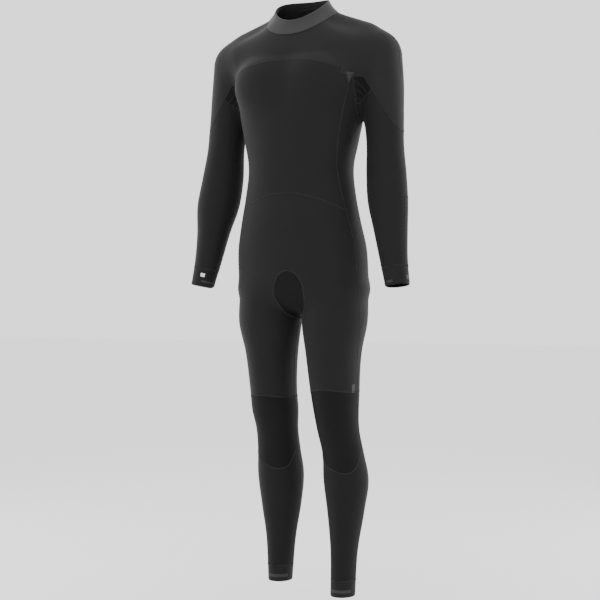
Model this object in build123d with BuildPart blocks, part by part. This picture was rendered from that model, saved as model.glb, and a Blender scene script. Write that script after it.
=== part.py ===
"""Full-length neoprene wetsuit with a back zip, filled out to its worn shape.

Row frame: millimetres, +Z up, the chest faces -Y and the wearer's left is +X.  The origin is inside the
neck opening, on the suit's middle plane.  Heights in the tables are measured up from the ankle hems.
"""
from build123d import *
from collections import namedtuple
from math import cos, degrees, pi, radians, sin
import os

os.makedirs("parts", exist_ok=True)

# ---------------------------------------------------------------- driving dimensions
NECK_HEIGHT = 1425  # origin above the ankle hems
WALL = 3.0  # neoprene panel
GAP = 0.4  # clearance between pieces that move past each other
OUTLINE_POINTS = 12
FAR = 600  # reach of the cutting prisms
SIDES = (("left", 1), ("right", -1))


def up(height):
    """Row-frame Z of a height above the ankle hems."""
    return height - NECK_HEIGHT


# ---------------------------------------------------------------- body sections
# One horizontal section: where its centre is, half its width, its depth forward and back of the centre,
# how far it is turned about Z, the power of its outline (2 is an ellipse, more is squarer), and +1 or -1
# where the body is closed at the top or the bottom of its run, 0 elsewhere.
Section = namedtuple("Section", "height x y half_width front back turn power closed", defaults=(0,))

TORSO = [
    Section(1470, 0, 0, 64, 62, 62, 0, 2),
    Section(1447, 0, 6, 68, 66, 73, 0, 2),
    Section(1429, 0, 12, 104, 69, 74, 0, 1.8),
    Section(1408, 0, 17, 154, 75, 76, 0, 1.9),
    Section(1380, 0, 18, 167, 84, 82, 0, 2.1),
    Section(1330, 0, 14, 164, 100, 96, 0, 2.3),
    Section(1270, 0, 6, 164, 116, 111, 0, 2.35),
    Section(1200, 0, 0, 156, 116, 119, 0, 2.35),
    Section(1130, 0, -4, 143, 107, 117, 0, 2.3),
    Section(1060, 0, -6, 131, 100, 106, 0, 2.3),
    Section(985, 0, -6, 139, 98, 86, 0, 2.3),
    Section(925, 0, -4, 150, 104, 92, 0, 2.3),
    Section(860, 0, 0, 161, 104, 110, 0, 2.3),
    Section(785, 0, 4, 167, 98, 122, 0, 2.3),
    Section(745, 0, 5, 140, 84, 104, 0, 2.2),
    Section(716, 0, 6, 82, 58, 66, 0, 2.1),
    Section(700, 0, 8, 24, 22, 24, 0, 2, -1),
]
ARM = [
    Section(1388, 199, 26, 14, 15, 15, 0, 2, 1),
    Section(1378, 199, 26, 34, 37, 37, 0, 2),
    Section(1358, 199, 26, 49, 55, 55, 0, 2),
    Section(1320, 199, 26, 56, 64, 64, 0, 2),
    Section(1270, 203, 22, 56, 60, 62, -10, 2),
    Section(1180, 211, 14, 50, 48, 52, -20, 2),
    Section(1110, 217, 8, 49, 43, 46, -28, 2),
    Section(1040, 223, 2, 52, 44, 46, -28, 2),
    Section(970, 231, -8, 52, 44, 44, -28, 2),
    Section(900, 242, -16, 42, 41, 41, -25, 2),
    Section(845, 250, -23, 34, 34, 34, -15, 2),
    Section(805, 257, -27, 30.4, 30.4, 30.4, 0, 2),
    Section(740, 268, -34, 30.4, 30.4, 30.4, 0, 2),
]
LEGS = {
    "left": [
        Section(835, 86, 10, 74, 90, 100, 0, 2),
        Section(750, 88, 8, 82, 95, 108, 0, 2),
        Section(680, 86, 2, 80, 88, 96, 0, 2),
        Section(600, 85, 0, 71, 80, 84, 0, 2),
        Section(500, 88, 4, 62, 70, 70, 0, 2),
        Section(405, 92, 16, 53, 58, 58, 0, 2),
        Section(350, 96, 36, 52, 56, 58, 0, 2),
        Section(280, 98, 56, 55, 60, 64, 0, 2),
        Section(200, 98, 50, 46, 52, 54, 0, 2),
        Section(110, 97, 42, 34, 38, 40, 0, 2),
        Section(40, 95, 38, 31.4, 31.4, 31.4, 0, 2),
        Section(-20, 95, 38, 31.4, 31.4, 31.4, 0, 2),
    ],
    "right": [
        Section(835, -86, 10, 74, 90, 100, 0, 2),
        Section(750, -88, 8, 80, 95, 108, 0, 2),
        Section(680, -88, 2, 76, 88, 96, 0, 2),
        Section(600, -86, 4, 66, 80, 84, 0, 2),
        Section(500, -86, 18, 57, 70, 70, 0, 2),
        Section(405, -90, 46, 53, 58, 58, 0, 2),
        Section(350, -92, 64, 53, 56, 58, 0, 2),
        Section(285, -94, 80, 57, 60, 64, 0, 2),
        Section(210, -94, 84, 47, 52, 54, 0, 2),
        Section(125, -95, 82, 35, 38, 40, 0, 2),
        Section(56, -95, 78, 31.4, 31.4, 31.4, 0, 2),
        Section(-5, -95, 78, 31.4, 31.4, 31.4, 0, 2),
    ],
}

# ---------------------------------------------------------------- seams and bending zones
HINGE_TILT = 35  # the planes across a sleeve head or a leg top rise outwards by this angle
ARMPIT = (156, 1206)  # distance from the middle plane, and height
SHOULDER_LENGTH = 90  # neoprene that bends at the shoulder, across the tilted plane
CROTCH_HEIGHT = 700
HIP_LENGTH = 130
ELBOW_TOP, ELBOW_BOTTOM = 1105, 975
KNEE_TOP, KNEE_BOTTOM = 500, 300

# Seams as (depth, height) or (distance from the middle plane, height) points.
CHEST_SEAM = ((155, 1281), (0, 1314))  # end and middle of an arc
WAIST_SEAM = ((155, 963), (0, 992))
SHOULDER_SEAM_DEPTH = 18
SIDE_PANEL = [(-66, 1196), (-65, 1130), (-54, 992), (-46, 912), (-28, 747), (-24, 690),
              (62, 690), (60, 747), (50, 912), (46, 992), (46, 1130), (47, 1196)]
UNDERARM_GUSSET = [(141, 1196), (200, 1196), (200, 1262), (152, 1288), (141, 1288)]
LEG_SEAM = {
    "left": [(8, 860), (2, 600), (4, 500), (52, 300), (50, 200), (42, 110), (38, -40)],
    "right": [(8, 860), (6, 600), (18, 500), (76, 300), (82, 200), (82, 125), (78, -40)],
}
FOREARM_SEAM = Plane(origin=(235, -8, up(970)), z_dir=(0.35, 0.93, 0))
ARM_SIDE = [(156, 1500), (156, 1150), (165, 1000), (175, 900), (195, 800), (195, 650),
            (FAR, 650), (FAR, 1500)]
CROTCH_GUSSET = [(0, 802), (24, 785), (36, 758), (34, 726), (18, 700), (0, 680)]  # right half of an egg

# ---------------------------------------------------------------- collar, cuffs and trim
COLLAR_WALL, LINING_WALL = 2.0, 1.4  # smooth outer band, inner layer
COLLAR_BASE = Plane(origin=(0, 8, up(1425)), x_dir=(1, 0, 0), z_dir=(0, -sin(radians(24)), cos(radians(24))))
COLLAR_TOP = Plane(origin=(0, 2, up(1458)), x_dir=(1, 0, 0), z_dir=(0, -sin(radians(27)), cos(radians(27))))
COLLAR_BASE_RADII, COLLAR_TOP_RADII = (80, 73), (66, 65)
COLLAR_SLIT = 3.0  # between the collar's two ends at the back
TAB_REACH, TAB_HEIGHT, TAB_THICKNESS = 31, 20, 2.0  # half the closing tab's length, its height, its wall
LOOP_THICKNESS = 0.8  # fuzzy patch that the tab sticks to

WRIST_RADIUS, WRIST_WALL, WRIST_LENGTH = 30.0, 2.5, 45.0
WRIST_HEM = (264, -32, up(764))
WRIST_AXIS = (0.168, -0.112, -0.979)
ANKLE_RADIUS, ANKLE_WALL, ANKLE_LENGTH = 31.0, 2.5, 40.0
ANKLE_HEMS = {"left": (95, 38, up(-6)), "right": (-95, 78, up(10))}
TRIM = 0.8  # printed strips and heat-bonded patches
# Each strip on a cuff: where it starts and ends above the hem, its middle direction round the cuff and
# the angle it covers, both in degrees from the back (+Y) about the axis that leaves the hem.
WRIST_TRIM = {
    "left": {"wrist_tag": (6, 12, 200, 42), "wrist_print": (10, 21, 88, 44)},
    "right": {"wrist_tag": (24, 33, 163, 20), "wrist_print": (10, 15.5, 128, 74)},
}
# Bonded over the left end of the chest seam: a triangle and a short bar.
CHEST_PATCH = [(136, 1293), (148, 1291), (138, 1271)]
CHEST_TAB = [(147, 1294), (166, 1294), (166, 1288), (147, 1288)]
CHEST_PATCH_INNER = 120
ANKLE_TRIM = {"left": (11, 18.5, 165, 90), "right": (11, 18.5, 165, 90)}

# ---------------------------------------------------------------- zip
ZIP_RADIUS = 700.0  # the zip lies on a circle whose axis runs along X in front of the suit
ZIP_CENTRE = (-582.0, up(1220))  # Y and Z of that axis
ZIP_TOP, ZIP_BOTTOM = 18.6, -15.6  # degrees above and below the circle's level line
ZIP_SLOT = 4.2  # half the slit between the back panels
TAPE_WIDTH, TAPE_THICKNESS = 15.0, 0.8
TAPE_TOP = -3.3  # the tape's outer face, measured out from the zip's circle
TOOTH_PITCH = 4.2
TOOTH_WIDTH, TOOTH_LENGTH, TOOTH_HEIGHT = 2.9, 2.3, 2.6
TOOTH_START = 0.9  # from the middle plane, so the slider's post passes between the rows
STOP_LENGTH = 5.0
SLIDER_ANGLE = 16.6  # where the closed zip's slider stands
SLIDER_LENGTH, SLIDER_WIDTH = 17.0, 7.6
PIVOT_OUT = 3.5
PULL_LENGTH, PULL_WIDTH, PULL_THICKNESS = 36.0, 9.0, 1.3
GUARD_HALF_WIDTH, GUARD_THICKNESS, GUARD_DEPTH = 34.0, 1.5, -7.5


# ---------------------------------------------------------------- shared shapes
def outline_points(section, inset):
    """Points around one section's outline, moved in by inset."""
    points = []
    for k in range(OUTLINE_POINTS):
        angle = 2 * pi * k / OUTLINE_POINTS
        c, s = cos(angle), sin(angle)
        depth = (section.front if s < 0 else section.back) - inset
        u = (section.half_width - inset) * abs(c) ** (2 / section.power) * (1 if c > 0 else -1)
        v = depth * abs(s) ** (2 / section.power) * (1 if s > 0 else -1)
        t = radians(section.turn)
        points.append((section.x + u * cos(t) - v * sin(t), section.y + u * sin(t) + v * cos(t)))
    return points


def mirrored(sections):
    return [s._replace(x=-s.x, turn=-s.turn) for s in sections]


def make_body(inset):
    """The whole filled-out suit as one solid, its outside moved in by inset."""
    with BuildPart() as body:
        for sections in (TORSO, ARM, mirrored(ARM), LEGS["left"], LEGS["right"]):
            for section in sections:
                with BuildSketch(Plane.XY.offset(up(section.height - section.closed * inset))):
                    with BuildLine():
                        Spline(*outline_points(section, inset), periodic=True)
                    make_face()
            loft()
    return body.part


def at_heights(points, side=1):
    return [(side * a, up(height)) for a, height in points]


def prism(plane, points, start, end):
    """A solid from a closed polygon on a plane, from start to end along the plane's normal."""
    with BuildPart() as solid:
        with BuildSketch(plane.offset(start)):
            with BuildLine():
                Polyline(*points, close=True)
            make_face()
        extrude(amount=end - start)
    return solid.part


def block(low, high):
    """A box from its two opposite corners."""
    with BuildPart() as solid:
        with Locations(tuple((a + b) / 2 for a, b in zip(low, high))):
            Box(*(b - a for a, b in zip(low, high)))
    return solid.part


def between(low, high):
    return block((-FAR, -FAR, up(low)), (FAR, FAR, up(high)))


def beyond(plane, distance=0):
    """Everything on the side of the plane that its normal points to, from a distance out."""
    with BuildPart() as solid:
        with BuildSketch(plane.offset(distance)):
            Rectangle(6 * FAR, 6 * FAR)
        extrude(amount=3 * FAR)
    return solid.part


def below_arc(seam, drop):
    """Everything under a seam that arcs up to the middle plane, seen from the front, and falls by drop
    beyond its ends."""
    (half_width, end), (_, middle) = seam
    low = up(end) - drop
    with BuildPart() as solid:
        with BuildSketch(Plane.XZ.offset(-FAR)):
            with BuildLine():
                ThreePointArc((-half_width, up(end)), (0, up(middle)), (half_width, up(end)))
                Polyline(
                    (half_width, up(end)), (half_width + 3, low), (FAR, low - 8), (FAR, up(-100)),
                    (-FAR, up(-100)), (-FAR, low - 8), (-half_width - 3, low), (-half_width, up(end)),
                )
            make_face()
        extrude(amount=2 * FAR)
    return solid.part


def cut(body, inside=(), outside=()):
    """The part of a wall that lies in every inside region and in no outside one."""
    with BuildPart() as piece:
        add(body)
        for region in inside:
            add(region, mode=Mode.INTERSECT)
        for region in outside:
            add(region, mode=Mode.SUBTRACT)
    return piece.part


def write(name, part):
    part.label = name
    export_step(part, f"parts/{name}.step")


def hinge_plane(side, x, height):
    """The tilted plane where a limb starts to bend; its normal runs down and out along the limb."""
    t = radians(HINGE_TILT)
    return Plane(origin=(side * x, 0, up(height)), x_dir=(0, 1, 0), z_dir=(side * sin(t), 0, -cos(t)))


def zip_plane(angle):
    """The plane across the zip at an angle: local X is the suit's X, local Y runs outwards, local Z up."""
    t = radians(angle)
    y, z = ZIP_CENTRE
    return Plane(origin=(0, y, z), x_dir=(1, 0, 0), z_dir=(0, -sin(t), cos(t)))


def zip_bar(x_low, x_high, out_low, out_high, from_angle, to_angle):
    """A bar along the zip; the outs are measured from the zip's circle."""
    y, z = ZIP_CENTRE
    with BuildPart() as bar:
        with BuildSketch(zip_plane(from_angle)):
            with Locations(((x_low + x_high) / 2, ZIP_RADIUS + (out_low + out_high) / 2)):
                Rectangle(x_high - x_low, out_high - out_low)
        revolve(axis=Axis((0, y, z), (1, 0, 0)), revolution_arc=to_angle - from_angle)
    return bar.part


def collar_solid(offset, base=0.0, top=0.0):
    """The collar's filled outline, grown by offset, between its base and its rim or short of them."""
    with BuildPart() as solid:
        for plane, radii, shift in (
            (COLLAR_BASE, COLLAR_BASE_RADII, base),
            (COLLAR_TOP, COLLAR_TOP_RADII, -top),
        ):
            with BuildSketch(plane.offset(shift)):
                Ellipse(radii[0] + offset, radii[1] + offset)
        loft()
    return solid.part


def cuff_plane(hem, axis):
    return Plane(origin=hem, x_dir=(0, 1, 0), z_dir=axis)


def ring(plane, outer, inner, start, end):
    """A tube round the plane's normal, from start to end along it."""
    with BuildPart() as tube:
        with BuildSketch(plane.offset(start)):
            Circle(outer)
            Circle(inner, mode=Mode.SUBTRACT)
        extrude(amount=end - start)
    return tube.part


def strip(plane, radius, start, end, middle, width):
    """A thin strip bonded round a cuff: middle and width are angles about the plane's normal."""
    reach = 2 * radius
    a, b = radians(middle - width / 2), radians(middle + width / 2)
    wedge = prism(plane, [(0, 0), (reach * cos(a), reach * sin(a)), (reach * cos(b), reach * sin(b))],
                  start, end)
    return cut(ring(plane, radius + TRIM, radius, start, end), inside=[wedge])


# ---------------------------------------------------------------- the suit's wall and its zones
outer_body = make_body(0)
inner_body = make_body(WALL)
skin = cut(outer_body, outside=[inner_body])

front = block((-FAR, -FAR, up(0)), (FAR, 0, up(1600)))
shoulder_front = block((-FAR, -FAR, up(0)), (FAR, SHOULDER_SEAM_DEPTH, up(1600)))
halves = {"left": block((0, -FAR, up(-100)), (FAR, FAR, up(1600))),
          "right": block((-FAR, -FAR, up(-100)), (0, FAR, up(1600)))}
arm_sides = {name: prism(Plane.XZ, at_heights(ARM_SIDE, side), -FAR, FAR) for name, side in SIDES}
shoulder_planes = {name: hinge_plane(side, *ARMPIT) for name, side in SIDES}
hip_planes = {name: hinge_plane(side, 0, CROTCH_HEIGHT) for name, side in SIDES}
arms = {name: cut(skin, inside=[arm_sides[name], beyond(shoulder_planes[name])]) for name, _ in SIDES}
legs = {name: cut(skin, inside=[halves[name], beyond(hip_planes[name])], outside=[arm_sides[name]])
        for name, _ in SIDES}
neck = collar_solid(0)
above_neck = beyond(COLLAR_TOP, -4)
torso = cut(
    skin,
    outside=[*(beyond(plane) for plane in hip_planes.values()), neck, above_neck,
             *(cut(arm_sides[name], inside=[beyond(shoulder_planes[name])]) for name, _ in SIDES)],
)
tape_room = zip_bar(-TAPE_WIDTH - 2, TAPE_WIDTH + 2, -30, TAPE_TOP, ZIP_BOTTOM - 1, ZIP_TOP + 3)
zip_slot = zip_bar(-ZIP_SLOT, ZIP_SLOT, -30, 30, ZIP_BOTTOM, ZIP_TOP + 4)
torso = cut(torso, outside=[tape_room, zip_slot])

# ---------------------------------------------------------------- torso panels
below_chest, below_waist = below_arc(CHEST_SEAM, drop=85), below_arc(WAIST_SEAM, drop=0)
gussets = {name: prism(Plane.XZ, at_heights(UNDERARM_GUSSET, side), -FAR, FAR) for name, side in SIDES}
side_panels = {
    "left": prism(Plane.YZ, at_heights(SIDE_PANEL), 90, FAR),
    "right": prism(Plane.YZ, at_heights(SIDE_PANEL), -FAR, -90),
}
egg = CROTCH_GUSSET + [(-x, height) for x, height in CROTCH_GUSSET[-2:0:-1]]
with BuildPart() as egg_region:
    with BuildSketch(Plane.XZ.offset(-20)):
        with BuildLine():
            Spline(*at_heights(egg), periodic=True)
        make_face()
    extrude(amount=FAR)
sides = [*gussets.values(), *side_panels.values()]

write("chest_yoke", cut(torso, inside=[shoulder_front], outside=[below_chest, *gussets.values()]))
write("torso_front", cut(torso, inside=[front, below_chest], outside=[below_waist, *sides]))
write("pelvis_front", cut(torso, inside=[front, below_waist], outside=[*sides, egg_region.part]))
write("crotch_gusset", cut(torso, inside=[egg_region.part]))
write("torso_back", cut(torso, inside=[below_chest], outside=[front, below_waist, *sides]))
write("pelvis_back", cut(torso, inside=[below_waist], outside=[front, *sides, egg_region.part]))
for name, _ in SIDES:
    write(f"back_yoke_{name}",
          cut(torso, inside=[halves[name]], outside=[shoulder_front, below_chest, *gussets.values()]))
    write(f"side_panel_{name}", cut(torso, inside=[side_panels[name], below_chest],
                                    outside=[gussets[name]]))
    write(f"underarm_gusset_{name}", cut(torso, inside=[gussets[name]]))

film = cut(make_body(-TRIM), inside=[block((CHEST_PATCH_INNER, -FAR, up(1200)), (FAR, 0, up(1400)))],
           outside=[outer_body])
with BuildPart() as chest_patch:
    for corners in (CHEST_PATCH, CHEST_TAB):
        add(cut(film, inside=[prism(Plane.XZ, at_heights(corners), 0, FAR)]))
write("chest_patch_left", chest_patch.part)

# ---------------------------------------------------------------- collar and its closing tab
back_slit = block((-COLLAR_SLIT / 2, 0, up(1400)), (COLLAR_SLIT / 2, FAR, up(1600)))
collar_body = collar_solid(-COLLAR_WALL)
write("collar", cut(collar_solid(0), outside=[collar_body, back_slit]))
write("collar_lining", cut(collar_body, outside=[collar_solid(-COLLAR_WALL - LINING_WALL), back_slit]))
tab_low = up(1458)
tab_box = block((-TAB_REACH, 0, tab_low), (TAB_REACH, FAR, tab_low + TAB_HEIGHT))
loop_box = block((COLLAR_SLIT, 0, tab_low + 2), (TAB_REACH - 3, FAR, tab_low + TAB_HEIGHT - 2))
tab_inside = collar_solid(LOOP_THICKNESS + GAP)
write("collar_loop_patch", cut(collar_solid(LOOP_THICKNESS), inside=[loop_box], outside=[collar_solid(0)]))
write("collar_tab", cut(collar_solid(LOOP_THICKNESS + GAP + TAB_THICKNESS), inside=[tab_box],
                        outside=[tab_inside]))

# ---------------------------------------------------------------- zip
for name, side in SIDES:
    x_low, x_high = sorted((side * (TOOTH_START + 0.5), side * (TOOTH_START + 0.5 + TAPE_WIDTH)))
    tape_bottom = TAPE_TOP - TAPE_THICKNESS
    write(f"zip_tape_{name}", zip_bar(x_low, x_high, tape_bottom, TAPE_TOP, ZIP_BOTTOM, ZIP_TOP))

    stop_turn = degrees(STOP_LENGTH / ZIP_RADIUS)
    first, last = ZIP_BOTTOM + stop_turn, ZIP_TOP - stop_turn
    count = int(radians(last - first) * ZIP_RADIUS / TOOTH_PITCH)
    with BuildPart() as teeth:
        for k in range(count):
            angle = first + degrees((k + 0.5) * TOOTH_PITCH / ZIP_RADIUS)
            with Locations(zip_plane(angle).location):
                with Locations((side * (TOOTH_START + TOOTH_WIDTH / 2),
                                ZIP_RADIUS + TAPE_TOP + TOOTH_HEIGHT / 2, 0)):
                    Box(TOOTH_WIDTH, TOOTH_HEIGHT, TOOTH_LENGTH)
    write(f"zip_teeth_{name}", teeth.part)

with BuildPart() as zip_top_stops:
    for x_low, x_high in ((TOOTH_START, 3.8), (-3.8, -TOOTH_START)):
        add(zip_bar(x_low, x_high, TAPE_TOP, TAPE_TOP + TOOTH_HEIGHT, last, ZIP_TOP))
write("zip_top_stops", zip_top_stops.part)
write("zip_bottom_stop", zip_bar(-3.8, 3.8, TAPE_TOP, TAPE_TOP + TOOTH_HEIGHT, ZIP_BOTTOM,
                                 ZIP_BOTTOM + degrees(STOP_LENGTH / ZIP_RADIUS)))

guard_low, guard_high = ZIP_BOTTOM + 0.5, ZIP_TOP - 1.5
guard = zip_bar(-GUARD_HALF_WIDTH, GUARD_HALF_WIDTH, GUARD_DEPTH - GUARD_THICKNESS, GUARD_DEPTH,
                guard_low, guard_high)
guard_edge = zip_bar(GUARD_HALF_WIDTH - 9, GUARD_HALF_WIDTH, GUARD_DEPTH, 5, guard_low, guard_high)
with BuildPart() as zip_guard:
    add(guard)
    add(guard_edge)
    add(inner_body, mode=Mode.INTERSECT)
write("zip_guard", zip_guard.part)

# The pull's top bar turns in the hole of the slider's bridge, PIVOT_OUT above the zip's circle.
at_slider = zip_plane(SLIDER_ANGLE).location
with BuildPart() as zip_slider:
    with Locations(at_slider):
        with Locations((0, ZIP_RADIUS + 0.7, 0)):
            Box(SLIDER_WIDTH, 2.0, SLIDER_LENGTH)
        with Locations((0, ZIP_RADIUS - 5.3, 0)):
            Box(10.0, 1.4, SLIDER_LENGTH)
        with Locations((0, ZIP_RADIUS - 2.4, SLIDER_LENGTH / 2 - 4)):
            Box(1.0, 4.8, 7.0)
        with Locations((0, ZIP_RADIUS + 3.8, 0)):
            Box(3.2, 4.4, 9.0)
        with Locations((0, ZIP_RADIUS + PIVOT_OUT, 0)):
            Box(3.2, 2.6, 4.6, mode=Mode.SUBTRACT)
write("zip_slider", zip_slider.part)

with BuildPart() as zip_pull:
    with Locations(at_slider):
        with Locations((0, ZIP_RADIUS + PIVOT_OUT, 0.8 - PULL_LENGTH / 2)):
            Box(PULL_WIDTH, PULL_THICKNESS, PULL_LENGTH)
        with Locations((0, ZIP_RADIUS + PIVOT_OUT, -3.3)):
            Box(4.4, PULL_THICKNESS, 5.0, mode=Mode.SUBTRACT)
write("zip_pull", zip_pull.part)

# ---------------------------------------------------------------- sleeves
above_elbow, below_elbow = between(ELBOW_TOP, 1600), between(0, ELBOW_BOTTOM)
behind_forearm = beyond(FOREARM_SEAM)
for name, side in SIDES:
    arm = arms[name]
    bend_end = beyond(shoulder_planes[name], SHOULDER_LENGTH)
    hem = cuff_plane((side * WRIST_HEM[0], *WRIST_HEM[1:]), (side * WRIST_AXIS[0], *WRIST_AXIS[1:]))
    cuff_end = beyond(hem, -WRIST_LENGTH)
    behind = behind_forearm if side > 0 else behind_forearm.mirror(Plane.YZ)

    write(f"shoulder_{name}", cut(arm, outside=[bend_end]))
    write(f"upper_sleeve_{name}", cut(arm, inside=[bend_end, above_elbow]))
    write(f"elbow_{name}", cut(arm, outside=[above_elbow, below_elbow]))
    write(f"forearm_front_{name}", cut(arm, inside=[below_elbow], outside=[cuff_end, behind]))
    write(f"forearm_back_{name}", cut(arm, inside=[below_elbow, behind], outside=[cuff_end]))
    write(f"wrist_cuff_{name}", ring(hem, WRIST_RADIUS, WRIST_RADIUS - WRIST_WALL, -WRIST_LENGTH, 0))
    for trim, (start, end, middle, width) in WRIST_TRIM[name].items():
        write(f"{trim}_{name}", strip(hem, WRIST_RADIUS, -end, -start, middle, width))

# ---------------------------------------------------------------- legs
above_knee, below_knee = between(KNEE_TOP, 1600), between(-100, KNEE_BOTTOM)
for name, side in SIDES:
    leg = legs[name]
    bend_end = beyond(hip_planes[name], HIP_LENGTH)
    hem = cuff_plane(ANKLE_HEMS[name], (0, 0, -1))
    cuff_end = beyond(hem, -ANKLE_LENGTH)
    seam = [*LEG_SEAM[name], (FAR, -40), (FAR, 860)]
    behind = prism(Plane.YZ, at_heights(seam), -FAR, FAR)

    write(f"hip_{name}", cut(leg, outside=[bend_end]))
    write(f"thigh_front_{name}", cut(leg, inside=[bend_end, above_knee], outside=[behind]))
    write(f"thigh_back_{name}", cut(leg, inside=[bend_end, above_knee, behind]))
    write(f"knee_pad_{name}", cut(leg, outside=[above_knee, below_knee, behind]))
    write(f"knee_back_{name}", cut(leg, inside=[behind], outside=[above_knee, below_knee]))
    write(f"shin_front_{name}", cut(leg, inside=[below_knee], outside=[cuff_end, behind]))
    write(f"calf_back_{name}", cut(leg, inside=[below_knee, behind], outside=[cuff_end]))
    write(f"ankle_cuff_{name}", ring(hem, ANKLE_RADIUS, ANKLE_RADIUS - ANKLE_WALL, -ANKLE_LENGTH, 0))
    start, end, middle, width = ANKLE_TRIM[name]
    write(f"ankle_strip_{name}", strip(hem, ANKLE_RADIUS, -end, -start, middle, width))
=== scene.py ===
"""Looks for the full wetsuit: a smooth neoprene skin grown round the CAD frame, cut into sewn panels."""
import bpy
import numpy as np
from mathutils import Matrix


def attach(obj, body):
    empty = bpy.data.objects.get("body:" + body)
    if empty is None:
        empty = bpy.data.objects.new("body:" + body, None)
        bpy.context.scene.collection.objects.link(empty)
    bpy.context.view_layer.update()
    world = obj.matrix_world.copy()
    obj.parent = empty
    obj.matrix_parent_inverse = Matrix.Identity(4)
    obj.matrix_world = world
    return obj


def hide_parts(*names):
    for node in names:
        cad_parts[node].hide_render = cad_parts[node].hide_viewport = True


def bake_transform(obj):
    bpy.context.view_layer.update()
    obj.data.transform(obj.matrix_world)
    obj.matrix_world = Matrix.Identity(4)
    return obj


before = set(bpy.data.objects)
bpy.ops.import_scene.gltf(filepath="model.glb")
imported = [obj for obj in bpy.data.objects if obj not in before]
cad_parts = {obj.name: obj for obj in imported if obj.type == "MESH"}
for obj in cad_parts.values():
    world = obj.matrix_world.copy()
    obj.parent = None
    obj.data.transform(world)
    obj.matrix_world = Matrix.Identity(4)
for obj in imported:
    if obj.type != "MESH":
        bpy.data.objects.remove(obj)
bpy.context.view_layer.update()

NECK_HEIGHT = 1425.0  # shapes are worked out in millimetres above the ankle hems, and placed in metres
WALL = 3.0
STEP = 5.0


def metres(P):
    """Points in millimetres above the hems, as metres in the frame."""
    Q = np.array(P, float)
    return np.stack([Q[..., 0], Q[..., 1], Q[..., 2] - NECK_HEIGHT], -1) / 1000


# ---------------------------------------------------------------- body field
# Rows: height, centre x, centre y, half width, depth forward, depth back, turn in degrees, power.
TORSO = [
    (765, 0, 5, 167, 98, 120, 0, 2.3), (860, 0, 0, 165, 104, 110, 0, 2.3), (925, 0, -4, 153, 104, 93, 0, 2.3),
    (985, 0, -6, 142, 98, 87, 0, 2.3), (1060, 0, -6, 133, 100, 104, 0, 2.3),
    (1130, 0, -4, 145, 106, 116, 0, 2.3),
    (1200, 0, 0, 158, 114, 118, 0, 2.35), (1270, 0, 6, 165, 116, 112, 0, 2.35),
    (1330, 0, 14, 158, 100, 97, 0, 2.3),
]
NECK = [
    (1330, 0, 26, 80, 66, 60, 0, 2.1), (1400, 0, 12, 80, 69, 72, 0, 2.05), (1425, 0, 8, 78, 66, 71, 0, 2),
    (1450, 0, 4, 71, 63, 70.5, 0, 2), (1475, 0, 0, 64, 60, 63, 0, 2),
]
ARM = [
    (765, 264, -32, 30, 30, 30, -20, 2), (830, 251.5, -24, 34.5, 34, 34, -20, 2),
    (900, 241, -16, 42, 41, 41, -25, 2),
    (970, 231, -8, 54, 45, 44.5, -28, 2), (1040, 223, 2, 53, 44.5, 46, -28, 2),
    (1110, 217.5, 8, 47.5, 43, 46, -28, 2), (1180, 212, 14, 48.5, 48, 52, -20, 2),
    (1270, 202, 22, 54.5, 60, 62, -10, 2), (1325, 198, 26, 54, 64, 64, 0, 2),
]
LEG_LEFT = [
    (-6, 95, 37, 30, 36, 36, 0, 2), (110, 97, 42, 34, 40, 40, 0, 2), (200, 98, 50, 45.5, 52, 54, 0, 2),
    (280, 96, 56, 56, 60, 64, 0, 2), (350, 96, 36, 51, 56, 58, 0, 2), (405, 92, 16, 51.5, 58, 58, 0, 2),
    (500, 88, 4, 59, 70, 70, 0, 2), (600, 85.5, 0, 67.5, 80, 84, 0, 2), (680, 87, 2, 80, 88, 95, 0, 2),
    (715, 87, 5, 79.5, 90, 99, 0, 2), (750, 85.5, 8, 78.5, 91, 102, 0, 2),
]
LEG_RIGHT = [
    (10, -95, 77, 30, 36, 36, 0, 2), (125, -95, 82, 39, 40, 40, 0, 2), (210, -95, 84, 52, 52, 54, 0, 2),
    (285, -95, 80, 59, 60, 64, 0, 2), (350, -92.5, 64, 54.5, 56, 58, 0, 2),
    (405, -89.5, 46, 53, 58, 58, 0, 2),
    (450, -88, 32, 58, 64, 64, 0, 2), (500, -86, 18, 57, 70, 70, 0, 2), (600, -85, 4, 63, 80, 84, 0, 2),
    (680, -88.5, 2, 77, 88, 95, 0, 2), (715, -88, 5, 78, 90, 99, 0, 2), (750, -85.5, 8, 78.5, 91, 102, 0, 2),
]
BASE_RADII, RIM_RADII = (80, 73), (66, 65)
WRIST_HEM, WRIST_AXIS = np.array((264, -32, 764.0)), np.array((0.168, -0.112, -0.979))
ANKLE_HEM = {1: -6.0, -1: 10.0}
ZIP_RADIUS, ZIP_Y, ZIP_HEIGHT = 700.0, -582.0, 1220.0


def mirror(rows):
    return [(r[0], -r[1], *r[2:6], -r[6], r[7]) for r in rows]


def smooth(a, b, x):
    t = np.clip((x - a) / (b - a), 0, 1)
    return t * t * (3 - 2 * t)


def curve(xs, ys, x):
    """A smooth curve through points, flat beyond its ends."""
    xs, ys = np.asarray(xs, float), np.asarray(ys, float)
    m = np.gradient(ys, xs)
    x = np.clip(x, xs[0], xs[-1])
    i = np.clip(np.searchsorted(xs, x) - 1, 0, len(xs) - 2)
    h = xs[i + 1] - xs[i]
    t = (x - xs[i]) / h
    return ((2 * t**3 - 3 * t**2 + 1) * ys[i] + (t**3 - 2 * t**2 + t) * h * m[i]
            + (3 * t**2 - 2 * t**3) * ys[i + 1] + (t**3 - t**2) * h * m[i + 1])


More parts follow.
